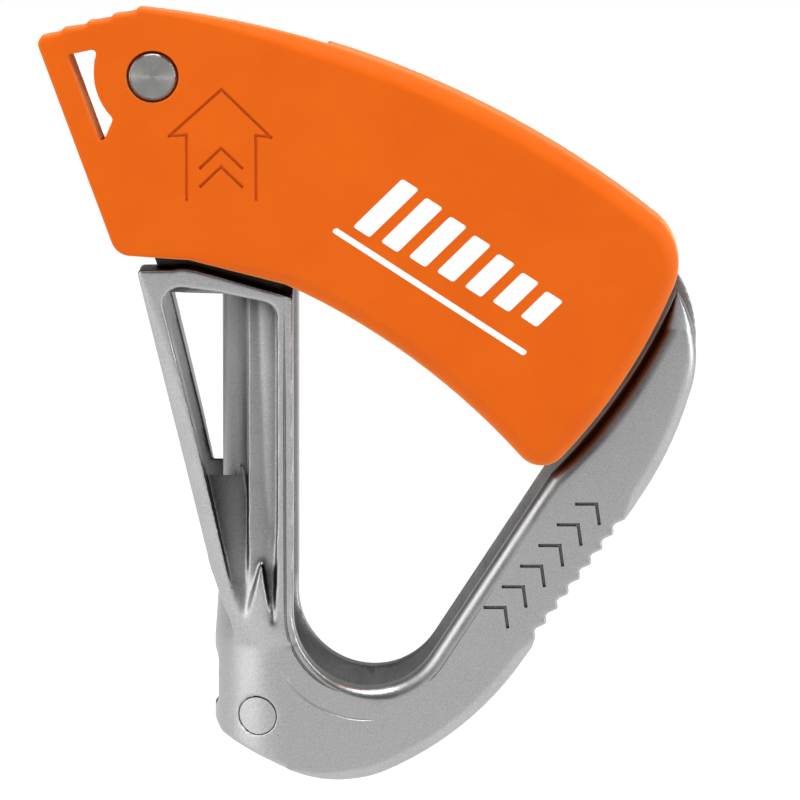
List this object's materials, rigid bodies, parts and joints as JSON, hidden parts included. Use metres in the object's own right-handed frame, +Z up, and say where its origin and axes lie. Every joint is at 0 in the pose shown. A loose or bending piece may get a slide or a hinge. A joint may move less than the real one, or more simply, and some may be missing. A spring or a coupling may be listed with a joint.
{
  "type": "rope ascender",
  "caption": "Pocket rope ascender: toothed channel in a cast frame with a carabiner hole, and a sprung swinging cover that closes the channel.",
  "frame": {"origin": "on the axis of the rope channel, level with the middle of the teeth", "axes": "+Z up the rope, +Y from the front cover to the rear cheek, +X out of the channel's open side"},
  "size_m": [0.0701, 0.0207, 0.0839],
  "materials": {
    "cast_aluminium": "bead-blasted, satin",
    "stainless": "ground",
    "pin_steel": "ground flush",
    "screw_steel": "plated",
    "rivet_steel": "turned",
    "spring_steel": "drawn wire",
    "orange_nylon": "moulded, fine texture",
    "bush_plastic": "moulded"
  },
  "bodies": {
    "frame": {"frame": "cast_aluminium", "toothed_insert": "stainless", "insert_pins": "pin_steel", "pivot_rivet": "rivet_steel", "slide_washer": "bush_plastic", "spacer_tube": "screw_steel", "rivet_washer": "rivet_steel", "torsion_spring": "spring_steel", "spring_post": "pin_steel"},
    "gate": {"gate_shell": "orange_nylon", "gate_block": "orange_nylon", "block_screws": "screw_steel", "pivot_bush": "bush_plastic", "stop_pin": "pin_steel"}
  },
  "joints": [
    {"name": "gate_hinge", "type": "hinge", "parent": "frame", "child": "gate", "pos_m": [-0.0145, 0, 0.0566], "axis": [0, -1, 0], "range_deg": [0, 45], "stiffness_Nm_per_rad": 0.012, "springref_deg": -20.05, "deforming": ["torsion_spring"]}
  ]
}
